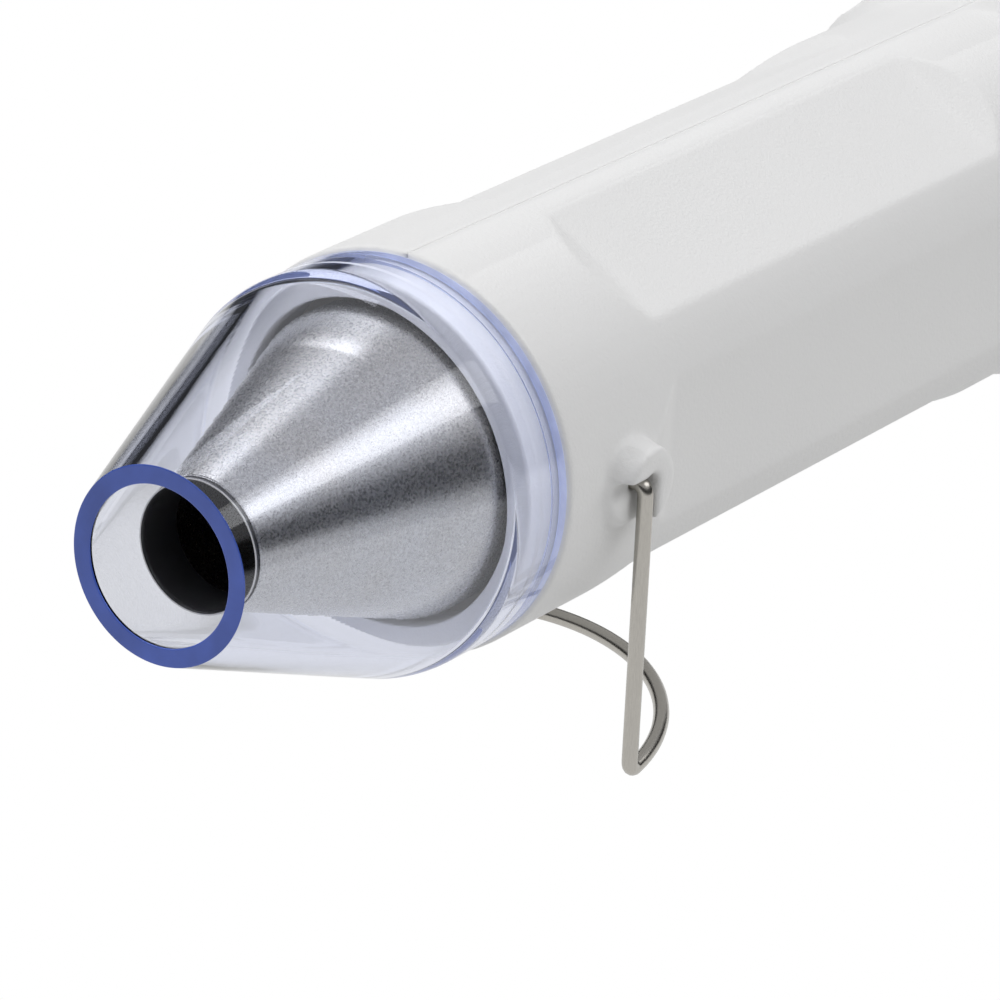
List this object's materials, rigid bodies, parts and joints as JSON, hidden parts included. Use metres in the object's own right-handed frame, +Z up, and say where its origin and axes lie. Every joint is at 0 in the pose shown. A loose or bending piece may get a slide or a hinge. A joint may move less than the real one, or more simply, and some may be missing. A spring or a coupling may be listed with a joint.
{
  "type": "embossing heat tool",
  "caption": "Slim hand-held hot air tool with a clear guard round its steel nozzle, a top rocker switch and a folding wire stand at the front.",
  "frame": {"origin": "centre of the part's box, on the table that the stand's feet and the tail's lower edge rest on", "axes": "+X towards the nose, +Y to the tool's left side, +Z up; the tool's own axis rises 3.2 degrees towards the nose"},
  "size_m": [0.2372, 0.052, 0.059],
  "materials": {
    "body_white": "off-white moulded plastic with a fine spark-eroded grain",
    "guard_clear": "clear, blue-tinted polycarbonate",
    "nozzle_steel": "satin drawn steel, a little mottled by heat",
    "tip_black": "black heat-proof enamel",
    "barrel_steel": "thin rolled steel",
    "ring_board": "pressed fibre and mica board",
    "mica": "mica sheet, satin",
    "coil_wire": "nickel-chromium wire, oxidised",
    "cutout_metal": "plain stamped metal",
    "fuse_metal": "lacquered metal case",
    "guide_plastic": "dark heat-proof plastic",
    "fan_plastic": "dark grey moulded plastic",
    "motor_steel": "plated steel can",
    "motor_plastic": "black moulded plastic",
    "bush_bronze": "sintered bronze",
    "magnet": "sintered ferrite",
    "armature": "steel laminations wound with lacquered copper",
    "shaft_steel": "ground steel",
    "terminal_brass": "tinned brass",
    "board_green": "green fibre board",
    "diode_black": "moulded black cases with tinned leads",
    "switch_black": "black moulded plastic",
    "rocker_black": "smooth black plastic",
    "gland_rubber": "black rubber",
    "screw_steel": "zinc-plated steel",
    "stand_steel": "stainless wire, satin"
  },
  "bodies": {
    "housing": {"left_shell": "body_white", "right_shell": "body_white", "nozzle_guard": "guard_clear", "nozzle_cone": "nozzle_steel", "nozzle_tip": "tip_black", "heater_barrel": "barrel_steel", "barrel_ring_front": "ring_board", "barrel_ring_rear": "ring_board", "mica_sleeve": "mica", "mica_cross": "mica", "heater_coil": "coil_wire", "thermal_cutout": "cutout_metal", "thermal_fuse": "fuse_metal", "air_guide": "guide_plastic", "motor_can": "motor_steel", "motor_endcap": "motor_plastic", "motor_bearings": "bush_bronze", "motor_magnets": "magnet", "motor_mount": "guide_plastic", "motor_terminals": "terminal_brass", "rectifier_board": "board_green", "rectifier_diodes": "diode_black", "switch_body": "switch_black", "switch_terminals": "terminal_brass", "rear_cap": "body_white", "cord_gland": "gland_rubber", "shell_screws": "screw_steel"},
    "stand": {"stand_wire": "stand_steel"},
    "rocker": {"switch_rocker": "rocker_black"},
    "rotor": {"fan": "fan_plastic", "motor_shaft": "shaft_steel", "motor_armature": "armature"}
  },
  "joints": [
    {"name": "stand_hinge", "type": "hinge", "parent": "housing", "child": "stand", "pos_m": [0.06429, 0, 0.03531], "axis": [0, -1, 0], "range_deg": [0, 92.7]},
    {"name": "rocker_hinge", "type": "hinge", "parent": "housing", "child": "rocker", "pos_m": [-0.07943, 0, 0.0497], "axis": [0, 1, 0], "range_deg": [0, 16]},
    {"name": "rotor_spin", "type": "hinge", "parent": "housing", "child": "rotor", "pos_m": [-0.01459, 0, 0.03092], "axis": [0.9985, 0, 0.0555], "continuous": true}
  ]
}
